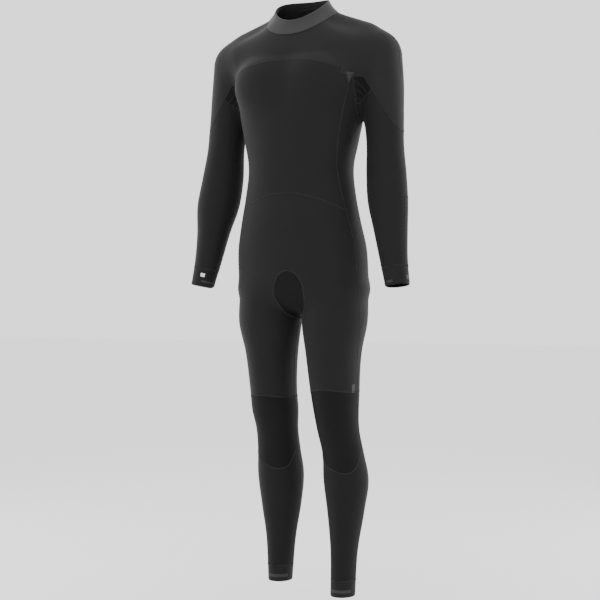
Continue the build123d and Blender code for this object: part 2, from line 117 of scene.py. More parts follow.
def tube(P, rows, low_dome, high_dome):
    """Signed distance, roughly, to a limb swept through its rows and domed at both ends."""
    S = np.array(rows, float)
    z = P[..., 2]
    g = [curve(S[:, 0], S[:, k], z) for k in range(1, 8)]
    x, y = P[..., 0] - g[0], P[..., 1] - g[1]
    t = np.radians(g[5])
    u, v = x * np.cos(t) + y * np.sin(t), -x * np.sin(t) + y * np.cos(t)
    past_top, past_foot = np.maximum(z - S[-1, 0], 0), np.maximum(S[0, 0] - z, 0)
    w = past_top / high_dome + past_foot / low_dome
    depth = np.where(v < 0, g[3], g[4])
    rho = (np.abs(u / g[2])**g[6] + np.abs(v / depth)**g[6] + w**g[6])**(1 / g[6]) + 1e-9
    return np.sqrt(u * u + v * v + (past_top + past_foot)**2) * (1 - 1 / rho)


def ball(P, centre, radii):
    q = P - np.array(centre)
    rho = np.sqrt(((q / np.array(radii))**2).sum(-1)) + 1e-9
    return np.sqrt((q * q).sum(-1)) * (1 - 1 / rho)


def segment(P, a, b):
    """Distance to a segment and the share of the way along it."""
    a, b = np.array(a, float), np.array(b, float)
    t = np.clip(((P - a) @ (b - a)) / ((b - a) @ (b - a)), 0, 1)
    return np.linalg.norm(P - a - t[..., None] * (b - a), axis=-1), t


def join(a, b, k):
    """A union of two fields, rounded over a width of k."""
    h = np.clip(0.5 + 0.5 * (b - a) / k, 0, 1)
    return b + (a - b) * h - k * h * (1 - h)


def body(P):
    """Signed distance, roughly, to the filled-out suit's outer face."""
    x, y, z = P[..., 0], P[..., 1], P[..., 2]
    d = join(tube(P, TORSO, 60, 62), tube(P, NECK, 30, 60), 50)
    for side in (1, -1):
        d = join(d, ball(P, (side * 70, -74, 1262), (72, 44, 62)), 40)
        r, t = segment(P, (side * 30, -16, 1372), (side * 150, -6, 1335))
        d = join(d, r - 46 - 6 * t, 45)
        r, t = segment(P, (side * 30, 30, 1431), (side * 160, 26, 1375))
        d = join(d, r - 33 - 7 * t, 30)
    for rows in (ARM, mirror(ARM)):
        d = join(d, tube(P, rows, 8, 65), 26)
    for rows in (LEG_LEFT, LEG_RIGHT):
        d = join(d, tube(P, rows, 8, 60), 22)
    ring = np.hypot(y - ZIP_Y, z - ZIP_HEIGHT) - ZIP_RADIUS + (x / 75)**2 * 9
    w = (1 - smooth(22, 62, np.abs(x))) * smooth(30, 60, y)
    w = w * smooth(985, 1035, z) * (1 - smooth(1455, 1480, z))
    return d * (1 - w) + ring * w


def gradient(f, V, e=0.6):
    g = np.stack([f(V + d) - f(V - d) for d in np.eye(3) * e], -1)
    return g / np.maximum(np.linalg.norm(g, axis=-1, keepdims=True), 1e-9)


def settle(V, rounds=3, onto=0.0):
    """Moves points onto the body, or to a set distance outside it."""
    for _ in range(rounds):
        e = 0.6
        g = np.stack([body(V + d) - body(V - d) for d in np.eye(3) * e], -1) / (2 * e)
        V = V - np.clip(body(V) - onto, -6, 6)[..., None] * g / np.maximum((g * g).sum(-1), 0.05)[..., None]
    return V


def surface_net(lo, hi, step):
    """A quad mesh close to the body's outer face, then split into triangles."""
    axes = [np.arange(lo[k], hi[k] + step, step) for k in range(3)]
    n = [len(a) for a in axes]
    inside = np.zeros(n, bool)
    for i, x in enumerate(axes[0]):
        G = np.stack(np.meshgrid([x], axes[1], axes[2], indexing="ij"), -1)
        inside[i] = body(G)[0] < 0
    count = sum(inside[a:n[0] - 1 + a, b:n[1] - 1 + b, c:n[2] - 1 + c].astype(int)
                for a in (0, 1) for b in (0, 1) for c in (0, 1))
    active = (count > 0) & (count < 8)
    index = -np.ones(active.shape, int)
    index[active] = np.arange(active.sum())
    V = np.array(lo) + (np.argwhere(active) + 0.5) * step
    quads = []
    for ax in range(3):
        a, b = inside.take(range(0, n[ax] - 1), ax), inside.take(range(1, n[ax]), ax)
        e = np.argwhere(a != b)
        o1, o2 = [k for k in range(3) if k != ax]
        e = e[(e[:, o1] > 0) & (e[:, o2] > 0) & (e[:, o1] < n[o1] - 1) & (e[:, o2] < n[o2] - 1)]
        up = a[tuple(e.T)]
        corners = []
        for d1, d2 in ((0, 0), (-1, 0), (-1, -1), (0, -1)):
            c = e.copy()
            c[:, o1] += d1
            c[:, o2] += d2
            corners.append(index[tuple(c.T)])
        q = np.stack(corners, 1)
        flip = up if ax != 1 else ~up
        q[~flip] = q[~flip][:, ::-1]
        quads.append(q)
    Q = np.concatenate(quads)
    return V, np.concatenate([Q[:, (0, 1, 2)], Q[:, (0, 2, 3)]])


def split(V, T, values):
    """Cuts the triangles along the line where values is 0."""
    f = values(V)
    f = np.where(np.abs(f) < 0.02, np.where(f < 0, -0.02, 0.02), f)
    s = f > 0
    mixed = s[T].any(1) & ~s[T].all(1)
    keep, M = T[~mixed], T[mixed]
    if not len(M):
        return V, T
    lone = np.array([[sm[0] != sm[1] and sm[0] != sm[2], sm[1] != sm[0] and sm[1] != sm[2]] for sm in s[M]])
    turn = np.where(lone[:, 0], 0, np.where(lone[:, 1], 1, 2))
    M = np.stack([M[np.arange(len(M)), (turn + k) % 3] for k in range(3)], 1)
    edges = np.concatenate([M[:, (0, 1)], M[:, (0, 2)]])
    key, inverse = np.unique(np.sort(edges, 1), axis=0, return_inverse=True)
    inverse = inverse.ravel()
    fa, fb = f[key[:, 0]], f[key[:, 1]]
    t = np.clip(fa / (fa - fb), 0.02, 0.98)[:, None]
    new = V[key[:, 0]] * (1 - t) + V[key[:, 1]] * t
    p, q = inverse[:len(M)] + len(V), inverse[len(M):] + len(V)
    return np.concatenate([V, new]), np.concatenate([
        keep, np.stack([M[:, 0], p, q], 1), np.stack([p, M[:, 1], M[:, 2]], 1), np.stack([p, M[:, 2], q], 1)])


# ---------------------------------------------------------------- seam lines and bending zones
TILT = np.radians(35)
ARMPIT, SHOULDER_LENGTH = (156, 1206), 90
CROTCH, HIP_LENGTH = (0, 700), 130
GUSSET_EDGE, GUSSET_TOP = 158, 1272
FOREARM_TOP = 978  # height of the seam below the elbow
SHOULDER_SEAM = 18  # depth where the chest yoke meets the back yokes


def tilted(V, side, at):
    """How far a point is past a limb's tilted plane, down and out along the limb."""
    return (side * V[:, 0] - at[0]) * np.sin(TILT) - (V[:, 2] - at[1]) * np.cos(TILT)


def arm_gap(V, side):
    """Positive on the sleeve's side of the space between arm and torso."""
    edge = np.interp(V[:, 2], (650, 800, 900, 1000, 1150, 1206), (195, 195, 178, 166, 156, 156))
    return side * V[:, 0] - edge


def arc(V, half_width, end, middle, drop=0.0):
    """Positive above an arc seam."""
    x = np.abs(V[:, 0])
    line = end + (middle - end) * (1 - np.clip(x / half_width, 0, 1)**2)
    return V[:, 2] - (line - drop * smooth(half_width, half_width + 8, x))


FRONT_EDGE = ((305, 500, 560, 640, 747, 912, 992, 1130, 1300), (50, 4, -4, -14, -28, -46, -54, -65, -68))
BACK_EDGE = ((500, 560, 640, 747, 912, 992, 1130, 1300), (4, 4, 28, 52, 50, 46, 46, 48))
LEG_SEAM = {1: ((-40, 42, 110, 200, 300, 500, 600, 860), (38, 38, 42, 50, 52, 4, 2, 8)),
            -1: ((-40, 42, 125, 200, 300, 500, 600, 860), (78, 78, 82, 82, 76, 18, 6, 8))}
LEG_CENTRE = ((-10, 280, 600, 860), (95, 97, 86, 88))


def leg_depth(V, side, edge):
    """Depth of a leg's seam: the plain side seam on the inside, the side panel's edge on the outside."""
    plain = np.interp(V[:, 2], *LEG_SEAM[side])
    outer = np.interp(V[:, 2], *edge) + (plain - np.interp(V[:, 2], *LEG_SEAM[1])) * (V[:, 2] < 860)
    outside = side * V[:, 0] > np.interp(V[:, 2], *LEG_CENTRE)
    return np.where(outside & (V[:, 2] > 500), outer, plain)


def chest(V):
    return arc(V, 155, 1281, 1314, 85)


def waist(V):
    return arc(V, 155, 937, 990)


def egg(V):
    h = V[:, 2]
    round_top = (((V[:, 0] - 3) / 40)**2 + np.where(h > 750, (h - 750) / 52, (750 - h) / 68)**2)
    return np.where(V[:, 1] < 25, 1 - round_top, -1.0) * 30


def sleeve_seam(V, side):
    """Positive above the diagonal seam that runs from the armpit down the outside of the sleeve."""
    return ((side * V[:, 0] - 187) * 1.6 + V[:, 2] - 1259) / 1.89


def forearm_seam(V, side):
    x = side * V[:, 0] - 235 + (V[:, 2] - 970) * 0.15
    return x * 0.35 + (V[:, 1] + 8 - (V[:, 2] - 970) * 0.115) * 0.93


def knee_top(V, side):
    edge = 511 if side > 0 else 492
    return V[:, 2] - edge + 5 * smooth(0.2, 1.0, np.abs(V[:, 0] - side * 88) / 55)


KNEE_CENTRE = {1: (97, 50), -1: (-94, 76)}
KNEE_APEX, KNEE_FOOT = 25, 301  # the pad's lowest point: degrees from straight ahead towards +X, and height
KNEE_RISE = ((-180, -95, -80, -50, -20, 0, 18, 30, 42, 58, 180), (160, 80, 36, 15, 3, 0, 8, 26, 54, 110, 200))


def knee_foot(V, side):
    """Positive above the pad's rounded lower edge."""
    x, y = KNEE_CENTRE[side]
    turned = np.degrees(np.arctan2(V[:, 0] - x, y - V[:, 1])) - KNEE_APEX
    turned = (turned + 180) % 360 - 180
    return V[:, 2] - KNEE_FOOT - np.interp(turned, *KNEE_RISE)


def past_wrist(V, side, back):
    at = WRIST_HEM * (side, 1, 1)
    return (V - at) @ (WRIST_AXIS * (side, 1, 1)) + back


def above_neck(V):
    """Positive above the collar's seam, which dips at the front and rises at the back and sides."""
    line = 1421 + 34 * (V[:, 1] - 8) / BASE_RADII[1] + 17 * np.minimum((V[:, 0] / BASE_RADII[0])**2, 1.3)
    return V[:, 2] - line


def zip_slit(V):
    a = np.degrees(np.arctan2(V[:, 2] - ZIP_HEIGHT, V[:, 1] - ZIP_Y))
    return np.where((V[:, 1] > 30) & (V[:, 2] > 1000), np.minimum(
        4.4 - np.abs(V[:, 0]), np.minimum(a + 15.7, 18.75 - a) * 12), -5.0)


def on_arm(V):
    return np.where(V[:, 0] > 0, arm_gap(V, 1), arm_gap(V, -1)) > 0


FAR = 80.0  # well clear of any line, so that nothing is cut there


def in_arm(V, side):
    return (arm_gap(V, side) > 0) & (V[:, 2] < 1500)


def in_leg(V, side, below=1300):
    return (side * V[:, 0] > 0) & ~in_arm(V, side) & (V[:, 2] < below)


def depth_past(V, side, edge):
    return V[:, 1] - leg_depth(V, side, edge)


# Each is zero along one line, and far from zero wherever the line doesn't run.
SIDE_CUTS = [
    lambda V, s: np.where(in_arm(V, s), past_wrist(V, s, 0), -FAR),
    lambda V, s: np.where(in_arm(V, s), past_wrist(V, s, 45), -FAR),
    lambda V, s: np.where(in_leg(V, s, 9999), ANKLE_HEM[s] - V[:, 2], -FAR),
    lambda V, s: np.where(in_leg(V, s, 9999), ANKLE_HEM[s] + 40 - V[:, 2], -FAR),
    lambda V, s: np.where(s * V[:, 0] > 140, tilted(V, s, ARMPIT), FAR),
    lambda V, s: np.where(in_arm(V, s), tilted(V, s, ARMPIT) - SHOULDER_LENGTH, -FAR),
    lambda V, s: np.where(in_leg(V, s, 900), tilted(V, s, CROTCH), -FAR),
    lambda V, s: np.where(in_leg(V, s, 900), tilted(V, s, CROTCH) - HIP_LENGTH, -FAR),
    lambda V, s: np.where(s * V[:, 0] > 139, sleeve_seam(V, s), FAR),
    lambda V, s: np.where((V[:, 2] > 1180) & (V[:, 2] < 1290), s * V[:, 0] - GUSSET_EDGE, FAR),
    lambda V, s: np.where(s * V[:, 0] > GUSSET_EDGE - 9, V[:, 2] - GUSSET_TOP, FAR),
    lambda V, s: np.where(in_arm(V, s) & (V[:, 2] < 1020), forearm_seam(V, s), FAR),
    lambda V, s: np.where(in_arm(V, s), V[:, 2] - FOREARM_TOP, FAR),
    lambda V, s: np.where(in_leg(V, s), depth_past(V, s, FRONT_EDGE), FAR),
    lambda V, s: np.where(in_leg(V, s), depth_past(V, s, BACK_EDGE), FAR),
    lambda V, s: np.where(in_leg(V, s, 600), knee_top(V, s), FAR),
    lambda V, s: np.where(in_leg(V, s, 600), knee_foot(V, s), FAR),
]
MIDDLE_CUTS = [
    lambda V: np.where(on_arm(V), FAR, chest(V)),
    lambda V: np.where(on_arm(V), FAR, waist(V)),
    lambda V: np.where(V[:, 2] > 1200, V[:, 1] - SHOULDER_SEAM, FAR),
    egg,
    zip_slit,
    lambda V: np.where((V[:, 1] > 30) & (V[:, 2] > 1000), V[:, 0], FAR),
]

V, T = surface_net((-315, -150, -14), (315, 180, 1500), STEP)
V = settle(V, 3)
V, T = split(V, T, above_neck)
for side in (1, -1):
    for values in SIDE_CUTS:
        V, T = split(V, T, lambda P: values(P, side))
for values in MIDDLE_CUTS:
    V, T = split(V, T, values)

# ---------------------------------------------------------------- panels
C = V[T].mean(1)
drop = (above_neck(C) > 0) | (zip_slit(C) > 0)
for s in (1, -1):
    drop |= in_arm(C, s) & (past_wrist(C, s, 0) > 0)
    drop |= (s * C[:, 0] > 0) & ~on_arm(C) & (C[:, 2] < ANKLE_HEM[s])
T, C = T[~drop], C[~drop]
panel = np.full(len(T), "torso_front", dtype=object)
zone = np.full(len(T), "torso", dtype=object)
front = C[:, 1] < 0
arm_all = on_arm(C)
panel[~front] = "torso_back"
panel[(waist(C) < 0) & front] = "pelvis_front"
panel[(waist(C) < 0) & ~front] = "pelvis_back"
for s, name in ((1, "left"), (-1, "right")):
    mine = (s * C[:, 0] > 0)
    arm = mine & arm_all
    trunk = mine & ~arm_all
    panel[trunk & (np.abs(C[:, 0]) > 80) & (C[:, 1] > leg_depth(C, s, FRONT_EDGE))
          & (C[:, 1] < leg_depth(C, s, BACK_EDGE)) & (C[:, 2] > 520)] = f"side_panel_{name}"
    high = mine & (chest(C) > 0)
    panel[high & (C[:, 1] < SHOULDER_SEAM)] = "chest_yoke"
    panel[high & (C[:, 1] > SHOULDER_SEAM)] = f"back_yoke_{name}"
    beyond = tilted(C, s, ARMPIT)
    sleeve = mine & (s * C[:, 0] > 141) & (beyond > 0) & arm
    panel[sleeve & (sleeve_seam(C, s) > 0)] = f"outer_sleeve_{name}"
    panel[sleeve & (sleeve_seam(C, s) <= 0)] = f"inner_sleeve_{name}"
    cap = mine & (s * C[:, 0] > 141) & (beyond <= 0) & ((sleeve_seam(C, s) > 0) | (C[:, 2] > GUSSET_TOP))
    gusset = mine & (s * C[:, 0] > GUSSET_EDGE) & (beyond <= 0) & (C[:, 2] > 1180) & ~cap
    panel[gusset] = f"underarm_gusset_{name}"
    panel[cap & (C[:, 1] < SHOULDER_SEAM)] = "chest_yoke"
    panel[cap & (C[:, 1] >= SHOULDER_SEAM)] = f"back_yoke_{name}"
    low_arm = arm & (C[:, 2] < FOREARM_TOP)
    panel[low_arm & (forearm_seam(C, s) <= 0)] = f"forearm_front_{name}"
    panel[low_arm & (forearm_seam(C, s) > 0)] = f"forearm_back_{name}"
    panel[arm & (past_wrist(C, s, 45) > 0)] = f"wrist_cuff_{name}"
    zone[sleeve] = f"upper_arm_{name}"
    zone[sleeve & (beyond > SHOULDER_LENGTH)] = f"forearm_{name}"

    leg = trunk & (tilted(C, s, CROTCH) > 0) & (C[:, 2] < 900)
    zone[leg] = f"thigh_{name}"
    zone[leg & (tilted(C, s, CROTCH) > HIP_LENGTH)] = f"shin_{name}"
    behind = C[:, 1] > leg_depth(C, s, FRONT_EDGE)
    plain = leg & ~np.char.startswith(panel.astype(str), "side_panel")
    panel[plain & ~behind] = f"thigh_front_{name}"
    panel[plain & behind] = f"thigh_back_{name}"
    low = leg & (C[:, 2] < 600)
    panel[low & ~behind & (knee_top(C, s) < 0)] = f"knee_pad_{name}"
    panel[low & behind & (knee_top(C, s) < 0)] = f"calf_back_{name}"
    panel[low & ~behind & (knee_foot(C, s) < 0)] = f"shin_front_{name}"
    panel[low & (C[:, 2] < ANKLE_HEM[s] + 40)] = f"ankle_cuff_{name}"
panel[egg(C) > 0] = "crotch_gusset"

# Pleats under the arm, and the soft creases behind the knees and in front of the elbows.
N = gradient(body, V)
creases = []
for s in (1, -1):
    for k, (x, h) in enumerate(((160, 1262), (162, 1248), (164, 1234), (167, 1219))):
        creases.append(((s * x, -50 + 4 * k, h), (s * (x + 26), -34 + 5 * k, h - 12 - 3 * k), 3.2, 1.8))
    centre = 1 if s > 0 else 30
    for k in range(3):
        creases.append(((s * 205, -48, 1052 - 16 * k), (s * 246, -46, 1060 - 16 * k), 4.5, 0.7))
        creases.append(((s * 66, 66 + centre, 420 - 17 * k), (s * 118, 66 + centre, 416 - 17 * k), 5.0, 0.8))
shift = np.zeros(len(V))
for a, b, width, depth in creases:
    near = np.abs(V - (np.array(a) + np.array(b)) / 2).max(1) < 60
    r, t = segment(V[near], a, b)
    fade = np.sin(np.pi * np.clip(t, 0.02, 0.98))
    shift[near] += fade * depth * (0.5 * np.exp(-((r - 2 * width) / width)**2) - np.exp(-(r / width)**2))
V = V + N * shift[:, None]


# ---------------------------------------------------------------- objects
def zone_move(obj, zone_name):
    """Attaches a torso piece to the torso's body; a piece in any other zone gets its transform baked into its
    mesh.
    """
    if zone_name == "torso":
        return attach(obj, "torso")
    if zone_name.startswith("upper_arm"):
        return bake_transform(obj)
    if zone_name.startswith("thigh"):
        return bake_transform(obj)
    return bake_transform(obj)


def add_mesh(name, verts, faces, material, normals=None):
    mesh = bpy.data.meshes.new(name)
    mesh.from_pydata(metres(verts).tolist(), [], faces.tolist())
    mesh.polygons.foreach_set("use_smooth", [True] * len(mesh.polygons))
    mesh.materials.append(material)
    if normals is not None:
        mesh.normals_split_custom_set_from_vertices(normals.tolist())
    obj = bpy.data.objects.new(name, mesh)
    bpy.context.scene.collection.objects.link(obj)
    return obj


def face_normals_to_points(V, T):
    n = np.cross(V[T[:, 1]] - V[T[:, 0]], V[T[:, 2]] - V[T[:, 0]])
    out = np.zeros_like(V)
    for k in range(3):
        np.add.at(out, T[:, k], n)
    return out / np.maximum(np.linalg.norm(out, axis=1, keepdims=True), 1e-9)


moved = np.abs(shift) > 0.01
N[moved] = face_normals_to_points(V, T)[moved]


# ---------------------------------------------------------------- materials
def new_material(name, colour, roughness, sheen=0.0, sheen_roughness=0.5, specular=0.35, metallic=0.0):
    mat = bpy.data.materials.new(name)
    mat.use_nodes = True
    tree = mat.node_tree
    shader = tree.nodes["Principled BSDF"]
    shader.inputs["Base Color"].default_value = (*colour, 1)
    shader.inputs["Roughness"].default_value = roughness
    shader.inputs["Sheen Weight"].default_value = sheen
    shader.inputs["Sheen Roughness"].default_value = sheen_roughness
    shader.inputs["Specular IOR Level"].default_value = specular
    shader.inputs["Metallic"].default_value = metallic
    coords = tree.nodes.new("ShaderNodeTexCoord").outputs["Object"]
    return mat, tree, shader, coords


def node(tree, kind, inputs=(), **settings):
    n = tree.nodes.new(kind)
    for key, value in settings.items():
        setattr(n, key, value)
    for key, value in dict(inputs).items():
        if isinstance(value, bpy.types.NodeSocket):
            tree.links.new(value, n.inputs[key])
        else:
            n.inputs[key].default_value = value
    return n


def mix(tree, a, b, share):
    n = node(tree, "ShaderNodeMix", {0: share}, data_type="RGBA")
    for key, value in ((6, a), (7, b)):
        if isinstance(value, bpy.types.NodeSocket):
            tree.links.new(value, n.inputs[key])
        else:
            n.inputs[key].default_value = (*value, 1)
    return n.outputs[2]


def knit(name, colour, roughness=0.72, sheen=0.12, rows=950.0, depth=0.00006, strength=0.35):
    """Fine jersey bonded to neoprene: crossed knit rows, soft mottling and a faint nap."""
    mat, tree, shader, coords = new_material(name, colour, roughness, sheen, 0.4, 0.12)
    across = node(tree, "ShaderNodeTexWave", {"Vector": coords, "Scale": rows * 0.31, "Distortion": 0.6,
                  "Detail": 1.0}, wave_type="BANDS", bands_direction="Z").outputs["Fac"]
    along = node(tree, "ShaderNodeTexWave", {"Vector": coords, "Scale": rows * 0.24, "Distortion": 0.6,
                 "Detail": 1.0}, wave_type="BANDS", bands_direction="DIAGONAL").outputs["Fac"]
    loops = node(tree, "ShaderNodeMath", {0: across, 1: along}, operation="MULTIPLY").outputs[0]
    cells = node(tree, "ShaderNodeTexNoise", {"Vector": coords, "Scale": 18.0, "Detail": 3.0}).outputs["Fac"]
    foam = node(tree, "ShaderNodeTexNoise", {"Vector": coords, "Scale": 42.0, "Detail": 2.0}).outputs["Fac"]
    light, dark = tuple(c * 1.22 for c in colour), tuple(c * 0.80 for c in colour)
    tone = mix(tree, dark, light, cells)
    share = node(tree, "ShaderNodeMath", {0: loops, 1: 0.35}, operation="MULTIPLY").outputs[0]
    tree.links.new(mix(tree, tone, tuple(c * 0.7 for c in colour), share), shader.inputs["Base Color"])
    tree.links.new(node(tree, "ShaderNodeMapRange", {"Value": cells, "To Min": roughness - 0.06,
                   "To Max": roughness + 0.08}).outputs[0], shader.inputs["Roughness"])
    soft = node(tree, "ShaderNodeBump", {"Strength": 0.12, "Distance": 0.0012, "Height": foam}).outputs[0]
    fine = node(tree, "ShaderNodeBump", {"Strength": strength, "Distance": depth * 4, "Height": loops,
                "Normal": soft}).outputs[0]
    tree.links.new(fine, shader.inputs["Normal"])
    return mat


def rubber(name, colour, roughness, grain, strength, sheen=0.0, coat=0.0, specular=0.3):
    """Rubber skin or coating with a pebbled grain and uneven polish."""
    mat, tree, shader, coords = new_material(name, colour, roughness, sheen, 0.5, specular)
    shader.inputs["Coat Weight"].default_value = coat
    shader.inputs["Coat Roughness"].default_value = 0.35
    pebble = node(tree, "ShaderNodeTexVoronoi", {"Vector": coords, "Scale": grain}).outputs["Distance"]
    cloud = node(tree, "ShaderNodeTexNoise", {"Vector": coords, "Scale": 30.0, "Detail": 4.0}).outputs["Fac"]
    tree.links.new(mix(tree, tuple(c * 0.85 for c in colour), tuple(c * 1.2 for c in colour), cloud),
                   shader.inputs["Base Color"])
    tree.links.new(node(tree, "ShaderNodeMapRange", {"Value": cloud, "To Min": roughness - 0.08,
                   "To Max": roughness + 0.08}).outputs[0], shader.inputs["Roughness"])
    tree.links.new(node(tree, "ShaderNodeBump", {"Strength": strength, "Distance": 0.0003,
                   "Height": pebble}).outputs[0], shader.inputs["Normal"])
    return mat


MATERIALS = {
    "yoke_jersey": knit("yoke_jersey", (0.0124, 0.0123, 0.0124), sheen=0.08),
    "body_jersey": knit("body_jersey", (0.0088, 0.0087, 0.0088), sheen=0.07),
    # Side jersey colour, also used on the underarm pleats as a painted highlight.
    "side_jersey": knit("side_jersey", (0.0082, 0.0081, 0.0082), sheen=0.07),
    "stretch_gusset": knit("stretch_gusset", (0.0050, 0.0050, 0.0050), 0.8, 0.03, 700, 0.0001, 0.5),
    "cuff_jersey": knit("cuff_jersey", (0.0088, 0.0087, 0.0088), sheen=0.07),
    "lining_jersey": knit("lining_jersey", (0.013, 0.013, 0.0135), 0.85, 0.12, 500, 0.0001, 0.5),
    "shin_jersey": knit("shin_jersey", (0.0070, 0.0070, 0.0070), sheen=0.05),
    "knee_rubber": rubber("knee_rubber", (0.0036, 0.0036, 0.0036), 0.7, 900.0, 0.30, 0.01, specular=0.12),
    "smooth_collar": rubber("smooth_collar", (0.0200, 0.0198, 0.0202), 0.55, 2600.0, 0.12, 0.04,
                            specular=0.22),
    "grey_print": rubber("grey_print", (0.021, 0.021, 0.022), 0.6, 1800.0, 0.15, specular=0.2),
    "light_print": rubber("light_print", (0.034, 0.034, 0.035), 0.6, 1800.0, 0.15, specular=0.2),
    "pale_tag": rubber("pale_tag", (0.62, 0.62, 0.62), 0.6, 1500.0, 0.15),
    "bonded_patch": rubber("bonded_patch", (0.024, 0.024, 0.025), 0.6, 1800.0, 0.15),
    "collar_tab": knit("collar_tab", (0.012, 0.012, 0.0125), 0.8, 0.1, 500, 0.0001, 0.5),
    "loop_patch": knit("loop_patch", (0.008, 0.008, 0.0085), 0.95, 0.3, 300, 0.0003, 0.9),
    "zip_tape": knit("zip_tape", (0.008, 0.008, 0.0085), 0.8, 0.08, 1400, 0.0001, 0.6),
    "zip_plastic": rubber("zip_plastic", (0.014, 0.014, 0.015), 0.38, 1500.0, 0.08),
    # Seam tape and stitching thread are a shade lighter than the panels they join: a painted highlight for
    # light caught along the raised seams.
    "thread": knit("thread", (0.021, 0.021, 0.0215), 0.7, 0.10, 2500, 0.00008, 0.6),
    "seam": knit("seam", (0.0165, 0.0168, 0.0172), 0.75, 0.10, 1500, 0.00008, 0.5),
    "collar_thread": knit("collar_thread", (0.036, 0.036, 0.038), 0.7, 0.10, 2500, 0.00008, 0.6),
}
PANEL_LOOK = {
    "chest_yoke": "yoke_jersey", "back_yoke": "yoke_jersey", "outer_sleeve": "yoke_jersey",
    "torso_front": "body_jersey", "torso_back": "body_jersey", "pelvis_front": "body_jersey",
    "pelvis_back": "body_jersey", "inner_sleeve": "body_jersey", "forearm_front": "body_jersey",
    "thigh_front": "body_jersey", "thigh_back": "body_jersey", "side_panel": "side_jersey",
    "forearm_back": "side_jersey", "calf_back": "side_jersey", "crotch_gusset": "stretch_gusset",
    "underarm_gusset": "stretch_gusset", "wrist_cuff": "cuff_jersey", "ankle_cuff": "cuff_jersey",
    "knee_pad": "knee_rubber", "shin_front": "shin_jersey",
}
SLOT = {"shin_jersey": "body_jersey"}  # where a material's slot has another name
# The CAD nodes that each panel stands for, by the zone it is in.
STANDS_FOR = {name: {"torso": [name]} for name in (
    "chest_yoke", "torso_front", "torso_back", "pelvis_front", "pelvis_back", "crotch_gusset")}
for name in ("left", "right"):
    for body_name, stems in (("torso", ("back_yoke", "side_panel", "underarm_gusset")),
                             (f"forearm_{name}", ("forearm_front", "forearm_back", "wrist_cuff")),
                             (f"shin_{name}", ("thigh_back", "knee_pad", "shin_front", "ankle_cuff"))):
        for stem in stems:
            STANDS_FOR[f"{stem}_{name}"] = {body_name: [f"{stem}_{name}"]}
    STANDS_FOR.update({
        f"outer_sleeve_{name}": {f"upper_arm_{name}": [f"shoulder_{name}", f"upper_sleeve_{name}"],
                                 f"forearm_{name}": [f"elbow_{name}"]},
        f"thigh_front_{name}": {f"thigh_{name}": [f"hip_{name}"], f"shin_{name}": [f"thigh_front_{name}"]},
        f"calf_back_{name}": {f"shin_{name}": [f"knee_back_{name}", f"calf_back_{name}"]},
    })
replaced = set()

# ---------------------------------------------------------------- panels as walls of neoprene
for p in sorted(set(panel)):
    for z in sorted(set(zone[panel == p])):
        faces = T[(panel == p) & (zone == z)]
        ids, local = np.unique(faces, return_inverse=True)
        local = local.reshape(-1, 3)
        n = len(ids)
        edges = np.concatenate([local[:, (0, 1)], local[:, (1, 2)], local[:, (2, 0)]])
        key, first, count = np.unique(np.sort(edges, 1), axis=0, return_index=True, return_counts=True)
        rim = edges[first[count == 1]]
        walls = np.concatenate([np.stack([rim[:, 1], rim[:, 0], rim[:, 0] + n], 1),
                                np.stack([rim[:, 1], rim[:, 0] + n, rim[:, 1] + n], 1)])
        verts = np.concatenate([V[ids], V[ids] - N[ids] * WALL])
        stem = p.rsplit("_", 1)[0] if p.endswith(("left", "right")) else p
        look = PANEL_LOOK[stem]
        stands_for = STANDS_FOR.get(p, {z: []})
        name = p if z in ("torso", list(stands_for)[0]) else f"{p}.{z}"
        obj = add_mesh(name, verts, np.concatenate([local, local[:, ::-1] + n, walls]), MATERIALS[look],
                       np.concatenate([N[ids], -N[ids]]))
        zone_move(obj, z)
        SLOT.get(look, look)
        stands = stands_for.get(z, [])
        if stands:
            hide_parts(*stands)
            replaced.update(stands)


# ---------------------------------------------------------------- seams
def chains(pairs):
    """Runs of vertices from a set of edges."""
    links = {}
    for a, b in pairs:
        links.setdefault(a, []).append(b)
        links.setdefault(b, []).append(a)
    left = {tuple(sorted(e)) for e in pairs}
    ends = [v for v in links if len(links[v]) != 2]
    for start in ends + list(links):
        for step in links[start]:
            if tuple(sorted((start, step))) not in left:
                continue
            run = [start]
            at, towards = start, step
            while tuple(sorted((at, towards))) in left:
                left.discard(tuple(sorted((at, towards))))
                run.append(towards)
                at = towards
                if len(links[at]) != 2:
                    break
                towards = links[at][0] if tuple(sorted((at, links[at][0]))) in left else links[at][1]
            yield run


def evenly(P, M, spacing):
    """Points and normals at even spacing along a run, lightly smoothed first."""
    P, M = P.copy(), M.copy()
    for _ in range(6):
        P[1:-1] = P[1:-1] * 0.5 + (P[:-2] + P[2:]) * 0.25
    length = np.concatenate([[0], np.cumsum(np.linalg.norm(np.diff(P, axis=0), axis=1))])
    count = max(int(length[-1] / spacing), 2)
    at = np.linspace(0, length[-1], count + 1)
    Q = np.stack([np.interp(at, length, P[:, k]) for k in range(3)], 1)
    R = np.stack([np.interp(at, length, M[:, k]) for k in range(3)], 1)
    return Q, R / np.linalg.norm(R, axis=1, keepdims=True)


def sideways(Q, R):
    """Unit vectors across a run, along the surface."""
    side = np.cross(R, np.gradient(Q, axis=0))
    return side / np.maximum(np.linalg.norm(side, axis=1, keepdims=True), 1e-9)


def ring(L):
    """The points round a grid's border."""
    return np.concatenate([L[:, 0], L[-1, 1:], L[-2::-1, -1], L[0, -2:0:-1]])


def alternate(Q, R, high, low):
    """Points lifted off a run by two heights in turn, as stitches are."""
    return Q + R * np.where(np.arange(len(Q)) % 2, high, low)[:, None]


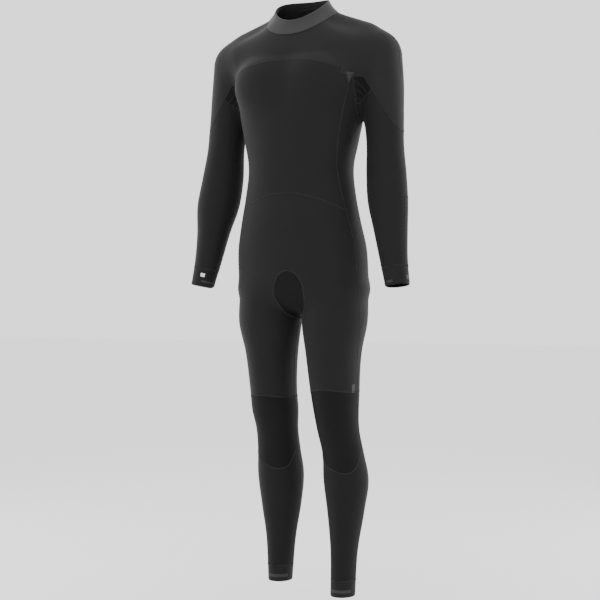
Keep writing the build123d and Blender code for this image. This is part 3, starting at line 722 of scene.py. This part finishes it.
class Batch:
    """Gathers strips and threads into one mesh."""

    def __init__(self):
        self.verts, self.faces, self.total = [], [], 0

    def grid(self, G, closed_across=False, closed_along=False):
        rows, cols = G.shape[:2]
        index = np.arange(rows * cols).reshape(rows, cols) + self.total
        if closed_across:
            index = np.concatenate([index, index[:, :1]], 1)
        if closed_along:
            index = np.concatenate([index, index[:1]], 0)
        quads = [index[:-1, :-1], index[:-1, 1:], index[1:, 1:], index[1:, :-1]]
        self.faces.append(np.stack(quads, -1).reshape(-1, 4))
        self.verts.append(G.reshape(-1, 3))
        self.total += rows * cols

    def fold(self, Q, R, half, height):
        """A soft ridge that rises and fades along a run."""
        across = np.linspace(-1, 1, 9)
        swell = np.sin(np.pi * np.linspace(0, 1, len(Q)))[:, None] * height
        lift = swell * (np.cos(np.pi * across) / 2 + 0.5)[None] - 0.25
        self.grid(Q[:, None] + sideways(Q, R)[:, None] * (across * half)[None, :, None]
                  + R[:, None] * lift[..., None])

    def ribbon(self, Q, R, half, height):
        across = np.array((-1, -0.72, -0.3, 0.3, 0.72, 1)) * half
        lift = np.array((-0.35, 0.8, 1, 1, 0.8, -0.35)) * height
        self.grid(Q[:, None] + sideways(Q, R)[:, None] * across[None, :, None]
                  + R[:, None] * lift[None, :, None])

    def thread(self, Q, R, radius=0.26):
        a = np.arange(4) * np.pi / 2
        self.grid(Q[:, None] + sideways(Q, R)[:, None] * (np.cos(a) * radius)[None, :, None]
                  + R[:, None] * (np.sin(a) * radius)[None, :, None], closed_across=True)

    def zigzag(self, Q, R, half, lift):
        self.thread(alternate(Q, sideways(Q, R), half, -half) + R * lift, R)

    def make(self, name, material):
        return add_mesh(name, np.concatenate(self.verts), np.concatenate(self.faces), MATERIALS[material])


edges = np.concatenate([T[:, (0, 1)], T[:, (1, 2)], T[:, (2, 0)]])
owner = np.tile(np.arange(len(T)), 3)
order = np.lexsort(np.sort(edges, 1).T)
E, owner = np.sort(edges, 1)[order], owner[order]
same = (E[1:] == E[:-1]).all(1)
fa, fb, E2 = owner[:-1][same], owner[1:][same], E[:-1][same]
panel_id = np.unique(panel, return_inverse=True)[1]
between_panels = panel_id[fa] != panel_id[fb]
hidden = [{"inner_sleeve_left", "forearm_front_left"}, {"inner_sleeve_right", "forearm_front_right"},
          {"outer_sleeve_left", "chest_yoke"}, {"outer_sleeve_right", "chest_yoke"},
          {"outer_sleeve_left", "back_yoke_left"}, {"outer_sleeve_right", "back_yoke_right"},
          {"thigh_front_left", "pelvis_front"}, {"thigh_front_right", "pelvis_front"},
          {"thigh_back_left", "pelvis_back"}, {"thigh_back_right", "pelvis_back"}]
groups = {}
for a, b, (i, j) in zip(fa[between_panels], fb[between_panels], E2[between_panels]):
    pair = frozenset((panel[a], panel[b]))
    if set(pair) in hidden:
        continue
    z = zone[a] if zone[a] != "torso" else zone[b]
    if zone[a] != zone[b]:
        z = "torso" if "torso" in (zone[a], zone[b]) else zone[a]
    groups.setdefault((z, tuple(sorted(pair))), []).append((i, j))
strips, threads = {}, {}
for (z, pair), pairs in sorted(groups.items()):
    for run in chains(pairs):
        P = V[run]
        if np.linalg.norm(np.diff(P, axis=0), axis=1).sum() < 12:
            continue
        Q, R = evenly(P, N[run], 2.2)
        strips.setdefault(z, Batch()).ribbon(Q, R, half=1.9, height=0.30)
        Q, R = evenly(P, N[run], 1.35)
        threads.setdefault(z, Batch()).zigzag(Q, R, half=1.7, lift=0.34)


def loop(centre, normal, reach, count=160):
    """Points and outward normals where a plane crosses the body, round a centre."""
    centre, n = np.array(centre, float), np.array(normal, float) / np.linalg.norm(normal)
    u = np.array((1.0, 0, 0)) - n[0] * n
    u /= np.linalg.norm(u)
    w = np.cross(n, u)
    a = np.arange(count) * 2 * np.pi / count
    rays = np.cos(a)[:, None] * u + np.sin(a)[:, None] * w
    low, high = np.zeros(count), np.full(count, reach)
    for _ in range(24):
        mid = (low + high) / 2
        inside = body(centre + rays * mid[:, None]) < 0
        low, high = np.where(inside, mid, low), np.where(inside, high, mid)
    P = centre + rays * low[:, None]
    return P, gradient(body, P)


def close(P):
    return np.concatenate([P, P[:1]])


# Two rows of cover stitch run round each hem.
HEM_LIFT = (0.25, 0.02)
for s, name in ((1, "left"), (-1, "right")):
    axis, hem = WRIST_AXIS * (s, 1, 1), WRIST_HEM * (s, 1, 1)
    for back in (5.0, 8.0):
        foot = (s * 95, 38 if s > 0 else 78, ANKLE_HEM[s] + back)
        for limb, at, normal, reach in ((f"forearm_{name}", hem - axis * back, axis, 60),
                                        (f"shin_{name}", foot, (0, 0, -1), 70)):
            P, R = loop(at, normal, reach)
            Q, R = evenly(close(P), close(R), 1.6)
            threads[limb].thread(alternate(Q, R, *HEM_LIFT), R, 0.24)
for z in strips:
    for batch, kind in ((strips, "seam"), (threads, "thread")):
        zone_move(batch[z].make(f"{'seams' if kind == 'seam' else 'stitches'}_{z}", kind), z)

# Pleats in the stretch gusset under each arm, made in the lighter side jersey instead of the darker gusset
# colour: a painted highlight along the pleat ridges.
for s, name in ((1, "left"), (-1, "right")):
    pleats, flip = Batch(), np.array((s, 1, 1))
    for start, end in (((159, -52, 1268), (186, -30, 1226)), ((159, -48, 1250), (184, -24, 1208)),
                       ((160, -44, 1226), (182, -20, 1196))):
        run = settle(np.linspace(start * flip, end * flip, 24), 5)
        pleats.fold(run, gradient(body, run), 4.2, 2.2)
    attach(pleats.make(f"underarm_pleats_{name}", "side_jersey"), "torso")

# ---------------------------------------------------------------- collar
angles = np.radians(np.linspace(90.25, 449.75, 181))  # from one end of the back slit round to the other
turn = np.radians(np.arange(361.0))


def base_line():
    """Where the collar's seam surface meets the body, at each degree round the neck."""
    def at(share):
        P = np.stack([BASE_RADII[0] * np.cos(turn) * share, 8 + BASE_RADII[1] * np.sin(turn) * share,
                      0 * share], 1)
        P[:, 2] = -above_neck(P)
        return P

    low, high = np.full(361, 0.6), np.full(361, 1.5)
    for _ in range(20):
        mid = (low + high) / 2
        within = body(at(mid)) < 0
        low, high = np.where(within, mid, low), np.where(within, high, mid)
    return at(low)


BASE_LINE = base_line()
RIM_LINE = np.stack([RIM_RADII[0] * np.cos(turn), 2 + RIM_RADII[1] * np.sin(turn),
                     1453.5 + 35.5 * np.sin(turn) + 14 * np.cos(turn)**2], 1)


def collar_point(a, s, out):
    """A point on the collar: a round it from +X, s from base 0 to rim 1, out from its outer face."""
    a, s, out = [np.broadcast_to(v, np.broadcast(a, s, out).shape) for v in (a, s, out)]
    place = np.degrees(a) % 360
    base, rim = [np.stack([np.interp(place, np.arange(361.0), line[:, k]) for k in range(3)], -1)
                 for line in (BASE_LINE, RIM_LINE)]
    s, radial = s[..., None], np.stack([np.cos(a), np.sin(a), 0 * a], -1)
    return base * (1 - s) + rim * s + radial * (out[..., None] - 2.2 * np.sin(np.pi * np.clip(s, 0, 1)))


def collar_band(name, profile, material, node_name):
    along, outs = [np.array(column) for column in zip(*profile)]
    batch = Batch()
    batch.grid(collar_point(angles[:, None], along[None], outs[None]), closed_across=True)
    obj = batch.make(name, material)
    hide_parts(node_name)
    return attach(obj, "torso")


def spread(start, end, count, out):
    return [(s, out) for s in np.linspace(start, end, count)]


collar_band("collar", [(-0.03, 0.2), (-0.035, 1.0), (-0.02, 1.5)] + spread(0.02, 0.93, 14, 1.7)
            + [(0.97, 1.5), (0.992, 1.0), (1.0, 0.2), (0.985, -0.6)] + spread(0.9, -0.02, 8, -0.6),
            "smooth_collar", "collar")
collar_band("collar_lining", [(0.94, -0.7), (0.975, -0.9), (0.985, -1.6), (0.97, -2.2)]
            + spread(0.9, 0.05, 12, -2.5) + [(-0.1, -4.5), (-0.1, -3.5)] + spread(0.05, 0.9, 8, -0.8),
            "lining_jersey", "collar_lining")

a = np.radians(np.linspace(93, 447, 400))
stitch = Batch()
for s in (0.10, 0.90):
    P = collar_point(a, s, 1.75)
    Q, R = evenly(P, np.stack([np.cos(a), np.sin(a), 0.25 + 0 * a], 1), 1.6)
    stitch.thread(alternate(Q, R, 0.14, -0.1), R, 0.16)
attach(stitch.make("collar_stitches", "collar_thread"), "torso")


def pad(name, look, lo, hi, s_low, s_high, out, thick, body_name):
    """A flat pad that follows the collar's outer face, with rounded corners and edges."""
    n, m = 33, 13
    t, w = [v.ravel() for v in np.meshgrid(np.linspace(-1, 1, n), np.linspace(-1, 1, m), indexing="ij")]
    corner = np.maximum(np.abs(t) - 0.86, 0) / 0.14
    reach = w * (1 - 0.35 * corner**2)
    aa = np.radians(90) - np.arcsin(np.clip((lo + hi + t * (hi - lo)) / 2 / 69, -1, 1))
    ss = (s_low + s_high + reach * (s_high - s_low)) / 2
    edge = np.clip((1 - np.maximum(np.abs(t), np.abs(w))) * 6, 0, 1)
    foot, top = [collar_point(aa, ss, o).reshape(n, m, 3)
                 for o in (out, out + thick * (0.35 + 0.65 * edge**0.5))]
    batch = Batch()
    batch.grid(foot[:, ::-1])
    batch.grid(top)
    batch.grid(np.stack([ring(foot), ring(top)], 1), closed_along=True)
    obj = batch.make(name, look)
    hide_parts(name)
    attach(obj, body_name)
    return ring(top)


pad("collar_loop_patch", "loop_patch", 3, 28, 0.22, 0.80, 1.8, 0.6, "torso")
tab_edge = pad("collar_tab", "collar_tab", -31, 31, 0.16, 0.86, 2.6, 1.8, "collar_tab")
R = tab_edge - np.array((0, 6, 1460.0))
R[:, 2] = 0
R /= np.linalg.norm(R, axis=1, keepdims=True)
Q, R = evenly(close(tab_edge + (tab_edge.mean(0) - tab_edge) * 0.10 + R * 0.9), close(R), 1.5)
tab_stitch = Batch()
tab_stitch.thread(alternate(Q, R, 0.25, 0.0), R, 0.22)
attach(tab_stitch.make("tab_stitches", "thread"), "collar_tab")

# The neck flap inside the back opening closes the slit above the zip and behind the collar's ends.
x, h = np.meshgrid(np.linspace(-31, 31, 17), np.linspace(1408, 1474, 18), indexing="ij")
flap = settle(np.stack([x, 76 - (h - 1440) * 0.3, h], -1).reshape(-1, 3), 6, onto=-8.0)
inner = (flap - gradient(body, flap) * 1.4).reshape(*x.shape, 3)
flap = flap.reshape(*x.shape, 3)
neck_flap = Batch()
neck_flap.grid(flap)
neck_flap.grid(inner[:, ::-1])
neck_flap.grid(np.stack([ring(inner), ring(flap)], 1), closed_along=True)
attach(neck_flap.make("neck_flap", "lining_jersey"), "torso")


# ---------------------------------------------------------------- prints, tags and patches
def on_skin(name, P, material, zone_name, node_name=None, lift=0.35):
    """A thin film laid on the skin; P is a grid of rough points that settle on it."""
    shape = P.shape
    Q = settle(P.reshape(-1, 3), 4)
    R = gradient(body, Q)
    batch = Batch()
    top, foot = (Q + R * lift).reshape(shape), (Q - R * 0.4).reshape(shape)
    batch.grid(top)
    batch.grid(np.stack([ring(foot), ring(top)], 1), closed_along=True)
    obj = batch.make(name, material)
    if node_name:
        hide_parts(node_name)
    return zone_move(obj, zone_name)


def round_cuff(hem, axis, low, high, middle, width, radius):
    """Grid points on a cuff; angles are measured from the back (+Y) about the axis that leaves the hem."""
    n = np.array(axis, float) / np.linalg.norm(axis)
    u = np.array((0, 1, 0)) - n[1] * n
    u /= np.linalg.norm(u)
    w = np.cross(n, u)
    a = np.radians(np.linspace(middle - width / 2, middle + width / 2, max(int(width / 4), 6)))
    t = np.linspace(low, high, 5)
    return (np.array(hem) - n * t[None, :, None]
            + (np.cos(a)[:, None, None] * u + np.sin(a)[:, None, None] * w) * radius)


WRIST_TRIM = {"left": {"wrist_tag": (6, 12, 200, 42), "wrist_print": (10, 21, 88, 44)},
              "right": {"wrist_tag": (24, 33, 163, 20), "wrist_print": (10, 15.5, 128, 74)}}
for s, name in ((1, "left"), (-1, "right")):
    for kind, (low, high, middle, width) in WRIST_TRIM[name].items():
        G = round_cuff(WRIST_HEM * (s, 1, 1), WRIST_AXIS * (s, 1, 1), low, high, middle, width, 30)
        look = {("wrist_tag", -1): "pale_tag", ("wrist_print", 1): "light_print"}.get((kind, s), "grey_print")
        on_skin(f"{kind}_{name}", G, look, f"forearm_{name}", f"{kind}_{name}")
    foot = (s * 95, 38 if s > 0 else 78, ANKLE_HEM[s])
    G = round_cuff(foot, (0, 0, -1), 11, 18.5, 165, 90, 33)
    on_skin(f"ankle_strip_{name}", G, "grey_print", f"shin_{name}", f"ankle_strip_{name}")


def quad_grid(corners, n=7):
    """A grid over four (x, y, height) corners."""
    a, b, c, d = [np.array(p, float) for p in corners]
    t = np.linspace(0, 1, n)[:, None, None]
    u = np.linspace(0, 1, n)[None, :, None]
    return (a * (1 - t) + b * t) * (1 - u) + (d * (1 - t) + c * t) * u


on_skin("chest_patch_left",
        quad_grid([(149, -75, 1279), (166, -56, 1278), (162, -60, 1266), (156, -68, 1252)]),
        "bonded_patch", "torso", "chest_patch_left")
on_skin("knee_patch_left", quad_grid([(143, -24, 524), (148, -12, 524), (147, -13, 503), (143, -22, 503)]),
        "bonded_patch", "shin_left")

# ---------------------------------------------------------------- zip, kept from the CAD
ZIP_LOOK = {"zip_tape_left": "zip_tape", "zip_tape_right": "zip_tape", "zip_guard": "lining_jersey"}
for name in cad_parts:
    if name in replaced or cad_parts[name].hide_render:
        continue
    look = ZIP_LOOK.get(name, "zip_plastic")
    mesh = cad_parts[name].data
    if not mesh.materials:
        mesh.materials.append(MATERIALS[look])
    for k in range(len(mesh.materials)):
        mesh.materials[k] = MATERIALS[look]

# ---------------------------------------------------------------- floor, light and camera
def flat(name, colour, roughness=0.9):
    """A plain matt surface with a trace of unevenness."""
    mat, tree, shader, coords = new_material(name, colour, roughness)
    grain = node(tree, "ShaderNodeTexNoise", {"Vector": coords, "Scale": 6.0}).outputs["Fac"]
    tree.links.new(mix(tree, tuple(c * 0.99 for c in colour), colour, grain), shader.inputs["Base Color"])
    return mat


def placed(axes, place):
    """A matrix from three axes, given as columns, and a place."""
    rows = [(*[float(c) for c in row], float(p)) for row, p in zip(axes, place)]
    return Matrix(rows + [(0, 0, 0, 1)])


floor_z = float(metres((0, 0, -85))[2])
corners = [(-20, -20, floor_z), (20, -20, floor_z), (20, 20, floor_z), (-20, 20, floor_z)]
mesh = bpy.data.meshes.new("floor")
mesh.from_pydata(corners, [], [(0, 1, 2, 3)])
mesh.materials.append(flat("floor", (0.94, 0.94, 0.94)))
floor = bpy.data.objects.new("floor", mesh)
bpy.context.scene.collection.objects.link(floor)

world = bpy.data.worlds.new("studio")
bpy.context.scene.world = world
world.use_nodes = True
world.node_tree.nodes["Background"].inputs["Color"].default_value = (1, 1, 1, 1)
world.node_tree.nodes["Background"].inputs["Strength"].default_value = 1.7

azimuth = np.radians(24)
right = np.array((np.cos(azimuth), np.sin(azimuth), 0))
ahead = np.array((-np.sin(azimuth), np.cos(azimuth), 0))
eye = -3.2 * ahead - 0.005 * right + np.array((0, 0, (730 - NECK_HEIGHT) / 1000))


def area_light(name, place, aim, size, power):
    data = bpy.data.lights.new(name, "AREA")
    data.shape = "RECTANGLE"
    data.size, data.size_y = size
    data.energy = power
    obj = bpy.data.objects.new(name, data)
    bpy.context.scene.collection.objects.link(obj)
    z = np.array(place, float) - np.array(aim, float)
    z /= np.linalg.norm(z)
    x = np.cross((0, 0, 1), z)
    x /= np.linalg.norm(x)
    obj.matrix_world = placed(np.stack([x, np.cross(z, x), z], 1), place)


middle = np.array((0, 0, -0.6))
area_light("key", middle - ahead * 2.6 - right * 1.1 + (0, 0, 1.6), middle, (2.0, 2.6), 12)
area_light("rim_left", middle + ahead * 0.9 - right * 2.2 + (0, 0, 0.6), middle, (1.0, 2.0), 25)
area_light("rim_right", middle + ahead * 0.9 + right * 2.2 + (0, 0, 0.6), middle, (1.0, 2.0), 25)

cam = bpy.data.cameras.new("camera")
cam.sensor_width, cam.lens = 36.0, 76.8
camera = bpy.data.objects.new("camera", cam)
bpy.context.scene.collection.objects.link(camera)
camera.matrix_world = placed(np.stack([right, (0, 0, 1), -ahead], 1), eye)
bpy.context.scene.camera = camera
